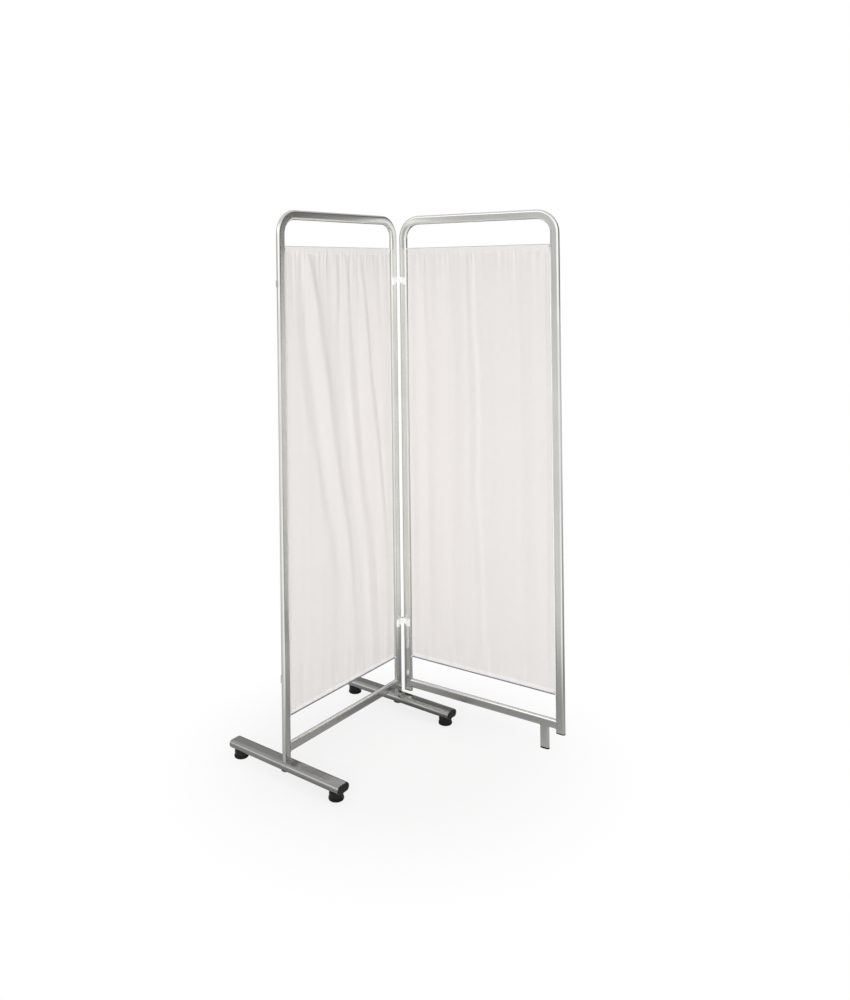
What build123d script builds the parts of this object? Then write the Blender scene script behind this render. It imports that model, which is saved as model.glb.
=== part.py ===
from build123d import *
import os

# Folding privacy screen with two panels, in millimetres, +Z up, standing on Z = 0.
# The footed panel stands on two cross bars. The wing hangs on it by two hinges and is
# modelled at the angle at which the screen usually stands, a little more than square.
# The origin is the middle of the floor area that the standing screen covers.


# Whole screen
screen_height = 1700.0
upright_spacing = 562.0
fold_angle = 93.5

# Frame tube: a flat oval whose wide side lies in the panel's plane
tube_wide = 30.0
tube_thick = 15.0
tube_wall = 1.5
bend_radius = 60.0
cope_wrap = 5.5
rail_height = 85.0

# Foot bars: a larger flat oval lying on its wide side
bar_wide = 50.0
bar_thick = 25.0
bar_wall = 2.0
bar_length = 440.0

# End plugs and caps
plug_inset = 0.8
plug_flange = 3.0
plug_depth = 12.0
plug_rounding = 1.4
plug_clearance = 0.2
cap_flange = 3.5
leg_tip_flange = 5.0

# Disc feet
pad_diameter = 45.0
pad_height = 8.0
pad_rounding = 1.2
pad_sole_rounding = 3.0
collar_diameter = 42.0
collar_height = 17.2
collar_chamfer = 1.5
spigot_diameter = 16.0
spigot_depth = 4.0
foot_inset = 26.0
stem_diameter = 10.0
stem_clearance = 0.1
stem_hole_clearance = 0.6
stem_run_out = 2.0
foot_insert_diameter = 16.0
foot_travel = 10.0
stem_engagement = 5.0
seat_clearance = 0.3

# Bolt from below through each foot bar into the upright above it
bolt_diameter = 8.0
bolt_head_flats = 13.0
bolt_head_height = 8.0
bolt_hole_clearance = 0.5
bolt_grip = 18.0
washer_diameter = 20.0
washer_thick = 1.6
upright_insert_height = 24.0

# Wing above the floor and its short leg
wing_bar_clearance = 7.5
leg_inset = 54.0

# Hinges, the upper one placed from the top of the screen
lower_hinge_height = 295.0
upper_hinge_drop = 223.0
inline_gap = 1.0
folded_gap = 6.0
leaf_height = 26.0
leaf_thick = 2.5
leaf_grip = 3.5
leaf_reach = 12.0
leaf_rounding = 1.2
barrel_height = 19.0
barrel_radius = 4.5
knuckle_gap = 0.3
barrel_clearance = 0.5
notch_reach = 13.5
pin_radius = 2.0
pin_clearance = 0.05
pin_head_radius = 3.2
pin_head_height = 0.8
leaf_screw_radius = 1.75
leaf_screw_head_radius = 3.3
leaf_screw_length = 12.0
leaf_screw_spacing = 15.0
leaf_screw_offset = 2.0
countersink_angle = 90.0

# Caps in the spare hinge places of the outer upright, which reach round its back
spare_cap_thick = 2.2
spare_cap_front = 3.5
spare_cap_height = 20.0
spare_peg_radius = 2.5
spare_peg_depth = 5.0
peg_clearance = 0.1

# Curtain wires and the bushes that hold their ends
wire_radius = 2.0
wire_clearance = 0.3
wire_end_depth = 5.0
lower_wire_height = 177.0
bush_radius = 4.0
bush_clearance = 0.05
bush_lip = 1.5

# Curtains
curtain_drop = 109.0
curtain_side_gap = 3.0
cloth_thick = 1.2
casing_height = 25.0
casing_thick = 4.6
hem_height = 15.0
hem_thick = 3.0
cloth_overlap = 3.0
cut_overrun = 1.0

# Where the folds of each curtain begin and end, as shares of its width counted from the
# hinge, at four heights from the top down, and how deep they are there. They run out
# shallow enough to start and end inside the casing and the hem.
footed_fold_shares = (
    (0.0, 0.09, 0.16, 0.25, 0.32, 0.41, 0.48, 0.56, 0.63, 0.73, 0.81, 0.92, 1.0),
    (0.0, 0.06, 0.12, 0.20, 0.26, 0.34, 0.41, 0.49, 0.55, 0.65, 0.73, 0.87, 1.0),
    (0.0, 0.04, 0.09, 0.15, 0.20, 0.27, 0.33, 0.41, 0.47, 0.57, 0.65, 0.82, 1.0),
    (0.0, 0.04, 0.08, 0.13, 0.17, 0.23, 0.28, 0.35, 0.41, 0.50, 0.58, 0.78, 1.0),
)
footed_fold_depths = (1.4, 6.0, 5.0, 0.7)
wing_fold_shares = (
    (0.0, 0.035, 0.08, 0.13, 0.18, 0.26, 0.40, 0.48, 0.57, 0.70, 0.80, 0.90, 1.0),
    (0.0, 0.040, 0.08, 0.14, 0.19, 0.27, 0.41, 0.50, 0.58, 0.70, 0.80, 0.90, 1.0),
    (0.0, 0.045, 0.09, 0.15, 0.20, 0.28, 0.43, 0.52, 0.60, 0.71, 0.81, 0.91, 1.0),
    (0.0, 0.050, 0.10, 0.16, 0.21, 0.29, 0.44, 0.53, 0.61, 0.72, 0.82, 0.92, 1.0),
)
wing_fold_depths = (1.4, 4.0, 3.5, 0.7)
fold_height_shares = (1.0, 0.7, 0.35, 0.0)

# Sizes that follow from the ones above
tube_bore_wide = tube_wide - 2 * tube_wall
tube_bore_thick = tube_thick - 2 * tube_wall
top_axis = screen_height - tube_wide / 2
hinge_heights = (lower_hinge_height, screen_height - upper_hinge_drop)
curtain_top = screen_height - curtain_drop
foot_insert_height = foot_travel + stem_engagement - stem_run_out
bar_underside = pad_height + collar_height + seat_clearance
bar_axis = bar_underside + bar_thick / 2
bar_top = bar_underside + bar_thick
bar_bore_wide = bar_wide - 2 * bar_wall
bar_bore_thick = bar_thick - 2 * bar_wall
foot_offset = bar_length / 2 - foot_inset
wing_end_height = bar_top + wing_bar_clearance
leg_place = upright_spacing - leg_inset
hinge_u = tube_wide / 2 + inline_gap / 2
hinge_out = tube_thick / 2 + folded_gap / 2
upper_wire_height = curtain_top - cloth_thick - wire_clearance - wire_radius
curtain_near = tube_wide / 2 + curtain_side_gap
curtain_far = upright_spacing - curtain_near
curtain_width = curtain_far - curtain_near
hem_bottom = lower_wire_height + wire_radius + wire_clearance
notch_height = leaf_height - barrel_height

# Places of the two panels. Each panel's plane has its x along the panel, away from the
# hinge, and its y up, with the hinge-side upright at x = 0. The hinge axis lies between
# the uprights, so that the wing folds flat against the footed panel.
swing = Vector(-hinge_u, -hinge_out).rotate(Axis.Z, fold_angle)
wing_root = Vector(hinge_u, -hinge_out) + swing
wing_along = Vector(-1, 0).rotate(Axis.Z, fold_angle)
tip_reach = upright_spacing + tube_wide / 2 - tube_thick / 2
low_x = -upright_spacing - bar_wide / 2
high_x = wing_root.X + tip_reach * wing_along.X + tube_thick / 2
low_y = wing_root.Y + tip_reach * wing_along.Y - tube_thick / 2
high_y = bar_length / 2 + plug_flange
footed_root = Vector(-(low_x + high_x) / 2, -(low_y + high_y) / 2)
footed = Plane(origin=footed_root, x_dir=(-1, 0, 0), z_dir=(0, 1, 0))
wing = Plane(
    origin=footed_root + wing_root,
    x_dir=wing_along,
    z_dir=Vector(0, 1).rotate(Axis.Z, fold_angle),
)

# The side of each panel that faces the other when folded, as a sign across its plane
footed_side = -1
wing_side = 1


def level(panel, height):
    """Horizontal plane at a height, over the panel's hinge-side upright, x along the panel."""
    return Plane(
        origin=panel.from_local_coords(Vector(0, height, 0)),
        x_dir=panel.x_dir,
        z_dir=(0, 0, 1),
    )


def crosswise(panel, along, height):
    """Plane square to the panel's length, its x up and its z along the panel."""
    return Plane(
        origin=panel.from_local_coords(Vector(along, height, 0)),
        x_dir=(0, 0, 1),
        z_dir=panel.x_dir,
    )


def facing(panel, side, along, height, out):
    """Plane parallel to the panel, a distance out from its middle, looking to that side."""
    return Plane(
        origin=panel.from_local_coords(Vector(along, height, side * out)),
        x_dir=panel.x_dir,
        z_dir=panel.z_dir * side,
    )


def tube_section(wide, thick, wall):
    """Flat-oval ring of a tube, drawn in the sketch that is open."""
    SlotOverall(wide, thick)
    SlotOverall(wide - 2 * wall, thick - 2 * wall, mode=Mode.SUBTRACT)


def make_hoop(panel, side, lower_end, is_footed):
    """Inverted U of tube, with the holes for wires, hinge screws and spare caps."""
    with BuildPart() as hoop:
        with BuildLine(panel):
            FilletPolyline(
                (0, lower_end),
                (0, top_axis),
                (upright_spacing, top_axis),
                (upright_spacing, lower_end),
                radius=bend_radius,
            )
        with BuildSketch(level(panel, lower_end)):
            tube_section(tube_wide, tube_thick, tube_wall)
        sweep()
        if is_footed:
            for along in (0, upright_spacing):
                with BuildSketch(facing(panel, 1, along, bar_axis, 0)):
                    SlotOverall(bar_wide, bar_thick)
                extrude(amount=tube_thick, both=True, mode=Mode.SUBTRACT)
        curve_centre = tube_wide / 2 - tube_thick / 2
        for height in (lower_wire_height, upper_wire_height):
            with BuildSketch(crosswise(panel, curve_centre, height)):
                Circle(bush_radius + bush_clearance)
            extrude(amount=upright_spacing - 2 * curve_centre, mode=Mode.SUBTRACT)
        for plane in leaf_screw_planes(panel, side, tube_thick / 2 + cut_overrun):
            with BuildSketch(plane):
                Circle(leaf_screw_radius + peg_clearance)
            extrude(amount=-(tube_wall + 2 * cut_overrun), mode=Mode.SUBTRACT)
        if is_footed:
            outer_face = upright_spacing + tube_wide / 2 + cut_overrun
            for height in hinge_heights:
                with BuildSketch(crosswise(panel, outer_face, height)):
                    Circle(spare_peg_radius + peg_clearance)
                extrude(amount=-(tube_wall + 2 * cut_overrun), mode=Mode.SUBTRACT)
    return hoop


def make_rail(panel):
    """Straight bottom rail, its ends coped round the uprights."""
    start = tube_wide / 2 - cope_wrap
    with BuildPart() as rail:
        with BuildSketch(crosswise(panel, start, rail_height)):
            tube_section(tube_wide, tube_thick, tube_wall)
        extrude(amount=upright_spacing - 2 * start)
        with BuildSketch(level(panel, rail_height)):
            with Locations((0, 0), (upright_spacing, 0)):
                SlotOverall(tube_wide, tube_thick)
        extrude(amount=tube_wide, both=True, mode=Mode.SUBTRACT)
    return rail


def make_foot_bar(panel, along):
    """Cross bar under one upright, drilled for its bolt and its two feet."""
    with BuildPart() as bar:
        with BuildSketch(facing(panel, 1, along, bar_axis, 0)):
            tube_section(bar_wide, bar_thick, bar_wall)
        extrude(amount=bar_length / 2, both=True)
        with BuildSketch(level(panel, bar_underside)):
            with Locations((along, 0)):
                Circle(bolt_diameter / 2 + bolt_hole_clearance)
        extrude(amount=bar_thick, mode=Mode.SUBTRACT)
        with BuildSketch(level(panel, bar_underside)):
            with Locations((along, foot_offset), (along, -foot_offset)):
                Circle(stem_diameter / 2 + stem_hole_clearance)
        extrude(amount=bar_wall + cut_overrun, mode=Mode.SUBTRACT)
    return bar


def make_bar_plugs(panel, along):
    """Two rounded plugs that close a foot bar's ends."""
    with BuildPart() as plugs:
        for side in (-1, 1):
            with BuildSketch(facing(panel, side, along, bar_axis, bar_length / 2)):
                SlotOverall(bar_wide - 2 * plug_inset, bar_thick - 2 * plug_inset)
            extrude(amount=plug_flange)
            with BuildSketch(facing(panel, side, along, bar_axis, bar_length / 2)):
                SlotOverall(bar_bore_wide - 2 * plug_clearance, bar_bore_thick - 2 * plug_clearance)
            extrude(amount=-plug_depth)
        faces = plugs.faces().filter_by(Axis.Y).sort_by(Axis.Y)
        fillet([*faces.first.edges(), *faces.last.edges()], radius=plug_rounding)
    return plugs


def make_end_caps(panel, places, bottom, flange):
    """Caps that close tube ends from below, each a flange and a body in the bore."""
    with BuildPart() as caps:
        with BuildSketch(level(panel, bottom)):
            with Locations(*[(place, 0) for place in places]):
                SlotOverall(tube_wide, tube_thick)
        extrude(amount=flange)
        with BuildSketch(level(panel, bottom + flange)):
            with Locations(*[(place, 0) for place in places]):
                SlotOverall(tube_bore_wide - 2 * plug_clearance, tube_bore_thick - 2 * plug_clearance)
        extrude(amount=plug_depth)
    return caps


def make_upright_inserts(panel):
    """Threaded blocks in the lower ends of the footed uprights."""
    with BuildPart() as inserts:
        with BuildSketch(level(panel, bar_top)):
            with Locations((0, 0), (upright_spacing, 0)):
                SlotOverall(tube_bore_wide - 2 * plug_clearance, tube_bore_thick - 2 * plug_clearance)
                Circle(bolt_diameter / 2, mode=Mode.SUBTRACT)
        extrude(amount=upright_insert_height)
    return inserts


def make_bolts(panel):
    """Hexagon bolts that pull the uprights down on the foot bars."""
    with BuildPart() as bolts:
        with BuildSketch(level(panel, bar_underside - washer_thick)):
            with Locations((0, 0), (upright_spacing, 0)):
                RegularPolygon(bolt_head_flats / 2, 6, major_radius=False)
        extrude(amount=-bolt_head_height)
        with BuildSketch(level(panel, bar_underside - washer_thick)):
            with Locations((0, 0), (upright_spacing, 0)):
                Circle(bolt_diameter / 2)
        extrude(amount=washer_thick + bar_thick + bolt_grip)
    return bolts


def make_washers(panel):
    """Washers between the bolt heads and the foot bars."""
    with BuildPart() as washers:
        with BuildSketch(level(panel, bar_underside)):
            with Locations((0, 0), (upright_spacing, 0)):
                Circle(washer_diameter / 2)
                Circle(bolt_diameter / 2 + bolt_hole_clearance, mode=Mode.SUBTRACT)
        extrude(amount=-washer_thick)
    return washers


def make_foot_inserts(panel):
    """Threaded bushes inside the foot bars that take the stems of the feet."""
    places = [(along, across) for along in (0, upright_spacing) for across in (-foot_offset, foot_offset)]
    with BuildPart() as inserts:
        with BuildSketch(level(panel, bar_underside + bar_wall)):
            with Locations(*places):
                Circle(foot_insert_diameter / 2)
                Circle(stem_diameter / 2 + stem_clearance, mode=Mode.SUBTRACT)
        extrude(amount=foot_insert_height)
    return inserts


def make_pad(panel, place):
    """Round rubber pad of one foot."""
    with BuildPart() as pad:
        with BuildSketch(level(panel, 0)):
            with Locations(place):
                Circle(pad_diameter / 2)
        extrude(amount=pad_height)
        fillet(pad.edges().group_by(Axis.Z)[-1], radius=pad_rounding)
        fillet(pad.edges().group_by(Axis.Z)[0], radius=pad_sole_rounding)
        with BuildSketch(level(panel, pad_height)):
            with Locations(place):
                Circle(spigot_diameter / 2)
        extrude(amount=-spigot_depth, mode=Mode.SUBTRACT)
    return pad


def make_stud(panel, place):
    """Collar of one foot, with the spigot below it and the threaded stem above it."""
    stem_length = seat_clearance + bar_wall + foot_insert_height + stem_run_out
    with BuildPart() as stud:
        with BuildSketch(level(panel, pad_height)):
            with Locations(place):
                Circle(collar_diameter / 2)
        extrude(amount=collar_height)
        chamfer(stud.edges().group_by(Axis.Z)[-1], length=collar_chamfer)
        with BuildSketch(level(panel, pad_height)):
            with Locations(place):
                Circle(spigot_diameter / 2)
        extrude(amount=-spigot_depth)
        with BuildSketch(level(panel, pad_height + collar_height)):
            with Locations(place):
                Circle(stem_diameter / 2)
        extrude(amount=stem_length)
    return stud


def make_leg(panel):
    """Short leg of the wing, coped on the rail's underside."""
    with BuildPart() as leg:
        with BuildSketch(level(panel, leg_tip_flange)):
            with Locations((leg_place, 0)):
                tube_section(tube_wide, tube_thick, tube_wall)
        extrude(amount=rail_height - tube_wide / 2 + cope_wrap - leg_tip_flange)
        with BuildSketch(crosswise(panel, leg_place, rail_height)):
            SlotOverall(tube_wide, tube_thick)
        extrude(amount=tube_wide, both=True, mode=Mode.SUBTRACT)
    return leg


def make_wire(panel, height):
    """Straight wire that carries a curtain, its ends inside the uprights."""
    start = tube_wide / 2 - wire_end_depth
    with BuildPart() as wire:
        with BuildSketch(crosswise(panel, start, height)):
            Circle(wire_radius)
        extrude(amount=upright_spacing - 2 * start)
    return wire


def make_wire_bushes(panel):
    """Four small bushes in the uprights, one round each wire end."""
    inside = tube_wide / 2 - tube_wall - bush_lip
    length = tube_wall + 2 * bush_lip
    with BuildPart() as bushes:
        for height in (lower_wire_height, upper_wire_height):
            for start in (inside, upright_spacing - inside - length):
                with BuildSketch(crosswise(panel, start, height)):
                    Circle(bush_radius)
                    Circle(wire_radius + bush_clearance, mode=Mode.SUBTRACT)
                extrude(amount=length)
    return bushes


def fold_section(panel, height, shares, depth):
    """Outline of the folded cloth at one height: bulges that turn to either side."""
    places = [curtain_near + share * curtain_width for share in shares]
    bulges = [depth if index % 2 else -depth for index in range(len(places) - 1)]
    spans = list(zip(places[:-1], places[1:], bulges))
    front = cloth_thick / 2
    with BuildSketch(level(panel, height)) as section:
        with BuildLine():
            for start, end, bulge in spans:
                ThreePointArc((start, front), ((start + end) / 2, front + bulge), (end, front))
            Line((places[-1], front), (places[-1], -front))
            for start, end, bulge in reversed(spans):
                ThreePointArc((end, -front), ((start + end) / 2, bulge - front), (start, -front))
            Line((places[0], -front), (places[0], front))
        make_face()
    return section.sketch


def make_curtain(panel, fold_shares, fold_depths):
    """Cloth with its main folds, a casing round the upper wire and a hem on the lower one."""
    casing_bottom = curtain_top - casing_height
    folds_top = casing_bottom + cloth_overlap
    folds_bottom = hem_bottom + hem_height - cloth_overlap
    folds_height = folds_top - folds_bottom
    sections = []
    for height_share, shares, depth in zip(fold_height_shares, fold_shares, fold_depths):
        sections.append(fold_section(panel, folds_bottom + height_share * folds_height, shares, depth))
    with BuildPart() as curtain:
        loft(sections)
        with BuildSketch(crosswise(panel, curtain_near, upper_wire_height)):
            Circle(wire_radius + wire_clearance + cloth_thick)
            drop = upper_wire_height - casing_bottom
            with Locations((-drop / 2, 0)):
                Rectangle(drop, casing_thick)
            Circle(wire_radius + wire_clearance, mode=Mode.SUBTRACT)
        extrude(amount=curtain_width)
        with BuildSketch(crosswise(panel, curtain_near, hem_bottom + hem_height / 2)):
            Rectangle(hem_height, hem_thick)
        extrude(amount=curtain_width)
    return curtain


def leaf_screw_planes(panel, side, out):
    """Planes at the four hinge screws of one panel, a distance out from its middle."""
    return [
        facing(panel, side, leaf_screw_offset, height + step, out)
        for height in hinge_heights
        for step in (-leaf_screw_spacing / 2, leaf_screw_spacing / 2)
    ]


def make_leaf(panel, side, height, knuckles):
    """One hinge leaf: a plate that grips the upright's side, and knuckles on the axis."""
    top = height + leaf_height / 2
    plate_near = inline_gap / 2 - hinge_u
    plate_mid = (plate_near + leaf_reach) / 2
    plate_outer = tube_thick / 2 + leaf_thick
    plate_depth = leaf_thick + leaf_grip
    axis_place = (-hinge_u, -side * hinge_out)
    with BuildPart() as leaf:
        with BuildSketch(level(panel, top)):
            with Locations((plate_mid, -side * (plate_outer - plate_depth / 2))):
                RectangleRounded(leaf_reach - plate_near, plate_depth, leaf_rounding)
            SlotOverall(tube_wide, tube_thick, mode=Mode.SUBTRACT)
            with Locations(axis_place):
                Circle(barrel_radius + barrel_clearance, mode=Mode.SUBTRACT)
        extrude(amount=-leaf_height)
        with BuildSketch(facing(panel, side, -hinge_u, top - leaf_height, tube_thick / 2)):
            SlotOverall(2 * notch_reach, 2 * notch_height)
        extrude(amount=plate_depth, both=True, mode=Mode.SUBTRACT)
        for upper, lower in knuckles:
            web_reach = barrel_radius + barrel_clearance + cut_overrun
            with BuildSketch(level(panel, top - upper)):
                with Locations(axis_place):
                    Circle(barrel_radius)
                with Locations((web_reach / 2 - hinge_u, -side * (plate_outer - leaf_thick / 2))):
                    Rectangle(web_reach, leaf_thick)
            extrude(amount=upper - lower)
        with BuildSketch(level(panel, top)):
            with Locations(axis_place):
                Circle(pin_radius + pin_clearance)
        extrude(amount=-leaf_height, mode=Mode.SUBTRACT)
        for step in (-leaf_screw_spacing / 2, leaf_screw_spacing / 2):
            with Locations(facing(panel, side, leaf_screw_offset, height + step, plate_outer)):
                CounterSinkHole(
                    radius=leaf_screw_radius + peg_clearance,
                    counter_sink_radius=leaf_screw_head_radius,
                    depth=plate_depth,
                    counter_sink_angle=countersink_angle,
                )
    return leaf


def make_leaf_screws(panel, side):
    """Countersunk screws through the hinge leaves into the upright."""
    head_height = leaf_screw_head_radius - leaf_screw_radius
    with BuildPart() as screws:
        for plane in leaf_screw_planes(panel, side, tube_thick / 2 + leaf_thick):
            with Locations(plane):
                Cone(
                    leaf_screw_radius,
                    leaf_screw_head_radius,
                    head_height,
                    align=(Align.CENTER, Align.CENTER, Align.MAX),
                )
                Cylinder(
                    leaf_screw_radius,
                    leaf_screw_length,
                    align=(Align.CENTER, Align.CENTER, Align.MAX),
                )
    return screws


def make_pin(height):
    """Steel hinge pin with a flat head on the upper knuckle."""
    top = height + leaf_height / 2
    with BuildPart() as pin:
        with BuildSketch(level(footed, top)):
            with Locations((-hinge_u, hinge_out)):
                Circle(pin_radius)
        extrude(amount=-barrel_height)
        with BuildSketch(level(footed, top)):
            with Locations((-hinge_u, hinge_out)):
                Circle(pin_head_radius)
        extrude(amount=pin_head_height)
    return pin


def make_spare_caps(panel):
    """Small caps round the outer upright's back edge, each pegged into a spare hinge hole."""
    edge = upright_spacing + tube_wide / 2
    curve_centre = edge - tube_thick / 2
    with BuildPart() as caps:
        for height in hinge_heights:
            with BuildSketch(level(panel, height)):
                with Locations((curve_centre, 0)):
                    Circle(tube_thick / 2 + spare_cap_thick)
                with Locations((curve_centre - tube_thick / 2, 0)):
                    Rectangle(tube_thick, tube_thick + 2 * spare_cap_thick, mode=Mode.SUBTRACT)
                with Locations((curve_centre, spare_cap_front + tube_thick)):
                    Rectangle(2 * tube_wide, 2 * tube_thick, mode=Mode.SUBTRACT)
                with Locations((upright_spacing, 0)):
                    SlotOverall(tube_wide, tube_thick, mode=Mode.SUBTRACT)
            extrude(amount=spare_cap_height / 2, both=True)
            with BuildSketch(crosswise(panel, edge + spare_cap_thick / 2, height)):
                Circle(spare_peg_radius)
            extrude(amount=-(spare_peg_depth + spare_cap_thick / 2))
    return caps


def save(piece, name):
    """Label a finished piece and write it out."""
    piece.part.label = name
    export_step(piece.part, f"parts/{name}.step")


os.makedirs("parts", exist_ok=True)

# Footed panel
save(make_hoop(footed, footed_side, bar_axis, True), "footed_hoop")
save(make_rail(footed), "footed_rail")
for bar_name, bar_place in (("hinge", 0), ("outer", upright_spacing)):
    save(make_foot_bar(footed, bar_place), f"{bar_name}_foot_bar")
    save(make_bar_plugs(footed, bar_place), f"{bar_name}_bar_plugs")
save(make_upright_inserts(footed), "upright_inserts")
save(make_bolts(footed), "foot_bar_bolts")
save(make_washers(footed), "foot_bar_washers")
save(make_foot_inserts(footed), "foot_inserts")
save(make_spare_caps(footed), "spare_hinge_caps")

# Feet: 1 and 2 under the outer bar, 3 and 4 under the hinge bar, front one first
foot_places = [
    (upright_spacing, foot_offset),
    (upright_spacing, -foot_offset),
    (0, foot_offset),
    (0, -foot_offset),
]
for number, foot_place in enumerate(foot_places, start=1):
    save(make_pad(footed, foot_place), f"foot_{number}_pad")
    save(make_stud(footed, foot_place), f"foot_{number}_stud")

# Wing
save(make_hoop(wing, wing_side, wing_end_height + cap_flange, False), "wing_hoop")
save(make_rail(wing), "wing_rail")
save(make_leg(wing), "wing_leg")
save(make_end_caps(wing, [leg_place], 0, leg_tip_flange), "wing_leg_tip")
save(make_end_caps(wing, [0, upright_spacing], wing_end_height, cap_flange), "wing_end_caps")

# Curtains and their wires
for panel_name, panel_plane, panel_shares, panel_depths in (
    ("footed", footed, footed_fold_shares, footed_fold_depths),
    ("wing", wing, wing_fold_shares, wing_fold_depths),
):
    save(make_wire(panel_plane, upper_wire_height), f"{panel_name}_upper_wire")
    save(make_wire(panel_plane, lower_wire_height), f"{panel_name}_lower_wire")
    save(make_wire_bushes(panel_plane), f"{panel_name}_wire_bushes")
    save(make_curtain(panel_plane, panel_shares, panel_depths), f"{panel_name}_curtain")

# Hinges: the fixed leaf has the outer two knuckles and the moving leaf the middle one
knuckle_height = (barrel_height - 2 * knuckle_gap) / 3
middle_start = knuckle_height + knuckle_gap
lower_start = 2 * (knuckle_height + knuckle_gap)
fixed_knuckles = [(0, knuckle_height), (lower_start, barrel_height)]
moving_knuckles = [(middle_start, middle_start + knuckle_height)]
for hinge_name, hinge_height in zip(("lower", "upper"), hinge_heights):
    save(make_leaf(footed, footed_side, hinge_height, fixed_knuckles), f"{hinge_name}_hinge_fixed_leaf")
    save(make_leaf(wing, wing_side, hinge_height, moving_knuckles), f"{hinge_name}_hinge_moving_leaf")
    save(make_pin(hinge_height), f"{hinge_name}_hinge_pin")
save(make_leaf_screws(footed, footed_side), "fixed_leaf_screws")
save(make_leaf_screws(wing, wing_side), "moving_leaf_screws")
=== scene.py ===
# %% [markdown]
# # A folding partition screen
# Two steel hoops are hinged side by side, and each holds a curtain gathered on a wire.
# The frame comes from CAD and stays as it is. This script dresses it: it gives the metal,
# plastic and rubber their finishes, hangs the cloth, and adds the stitches, weld beads and
# screw recesses that catch the eye close up.

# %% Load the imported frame
import math

import bpy
import numpy as np
from mathutils import Matrix, Vector


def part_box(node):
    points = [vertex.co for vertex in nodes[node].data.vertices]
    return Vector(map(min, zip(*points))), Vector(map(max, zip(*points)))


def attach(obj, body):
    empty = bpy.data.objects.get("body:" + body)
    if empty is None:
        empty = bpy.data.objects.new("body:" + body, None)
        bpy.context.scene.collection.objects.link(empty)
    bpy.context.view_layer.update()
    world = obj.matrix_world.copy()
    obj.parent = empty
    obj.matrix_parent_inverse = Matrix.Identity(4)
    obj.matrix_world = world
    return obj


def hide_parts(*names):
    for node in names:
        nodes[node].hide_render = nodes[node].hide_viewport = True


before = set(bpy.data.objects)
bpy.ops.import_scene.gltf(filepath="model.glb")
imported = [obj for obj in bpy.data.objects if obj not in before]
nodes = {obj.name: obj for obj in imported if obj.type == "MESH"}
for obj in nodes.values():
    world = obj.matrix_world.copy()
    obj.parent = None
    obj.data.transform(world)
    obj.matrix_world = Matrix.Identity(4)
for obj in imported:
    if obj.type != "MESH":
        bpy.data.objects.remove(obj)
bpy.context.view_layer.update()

# %% [markdown]
# ## Where the two panels stand
# The hinge pins give the axis. From it, two short offsets lead to the upright of each
# panel. A panel then has three directions of its own: along it from the hinge, out of its
# cloth towards the side that is looked at, and up. Every soft piece is placed with these.

# %% The panels' own directions
millimetre = 0.001
fold_angle = math.radians(93.5)
hinge_along = 15.5 * millimetre
hinge_out = 10.5 * millimetre
upright_spacing = 562 * millimetre


def centre_of(node):
    """Middle of a CAD node's box."""
    low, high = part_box(node)
    return (low + high) / 2


def turned(x, y, angle):
    """A level vector turned about the vertical."""
    return Vector((x * math.cos(angle) - y * math.sin(angle), x * math.sin(angle) + y * math.cos(angle), 0))


hinge_axis = centre_of("upper_hinge_pin")
hinge_axis.z = 0
panels = {
    "footed": {
        "root": hinge_axis + Vector((-hinge_along, hinge_out, 0)),
        "along": Vector((-1, 0, 0)),
        "out": Vector((0, -1, 0)),
        "body": "footed_panel",
    },
    "wing": {
        "root": hinge_axis + turned(-hinge_along, -hinge_out, fold_angle),
        "along": turned(-1, 0, fold_angle),
        "out": turned(0, 1, fold_angle),
        "body": "wing_panel",
    },
}


def place(panel, along, out, height):
    """A point of one panel, in the shared frame."""
    return panel["root"] + panel["along"] * along + panel["out"] * out + Vector((0, 0, height))


for name, panel in panels.items():
    print(name, "hinge-side upright", [round(value, 4) for value in panel["root"]])

# %% [markdown]
# ## The camera
# The view was matched to upright edges, rails and feet. It looks level, so that uprights
# stay parallel, and the lens is shifted to frame the screen, as a view camera's is. The
# sensor is a full-frame one held upright, and the picture uses its whole height. Its width
# does not change the picture.

# %% Camera
camera_place = Vector((-2.3267, -1.7471, 1.5049))
camera_heading = 0.8953
camera_pitch = 0.0007
camera_roll = -0.0123
sensor_high = 36
sensor_wide = 24
focal_pixels = 931.21
picture_size = (850, 1000)
picture_axis = (362.74, 274.02)


def in_scene(name, data):
    """An object made of some data, put into the scene."""
    piece = bpy.data.objects.new(name, data)
    bpy.context.scene.collection.objects.link(piece)
    return piece


def new_mesh(name, points, edges=(), faces=()):
    """A mesh from its points, and the edges or faces between them."""
    mesh = bpy.data.meshes.new(name)
    mesh.from_pydata(points, edges, faces)
    return mesh


camera_data = bpy.data.cameras.new("camera")
camera_data.sensor_fit = "VERTICAL"
camera_data.sensor_height = sensor_high
camera_data.sensor_width = sensor_wide
camera_data.lens = focal_pixels / max(picture_size) * sensor_high
camera_data.shift_x = (picture_size[0] / 2 - picture_axis[0]) / max(picture_size)
camera_data.shift_y = (picture_axis[1] - picture_size[1] / 2) / max(picture_size)
camera = in_scene("camera", camera_data)
forward = Vector((
    math.sin(camera_heading) * math.cos(camera_pitch),
    math.cos(camera_heading) * math.cos(camera_pitch),
    -math.sin(camera_pitch),
))
level_right = Vector((math.cos(camera_heading), -math.sin(camera_heading), 0))
level_up = level_right.cross(forward)
right = level_right * math.cos(camera_roll) + level_up * math.sin(camera_roll)
up = level_up * math.cos(camera_roll) - level_right * math.sin(camera_roll)
facing = Matrix((right, up, -forward)).transposed().to_4x4()
camera.matrix_world = Matrix.Translation(camera_place) @ facing
bpy.context.scene.camera = camera
shift = [round(value, 4) for value in (camera_data.shift_x, camera_data.shift_y)]
print("lens", round(camera_data.lens, 2), "shift", shift)

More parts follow.
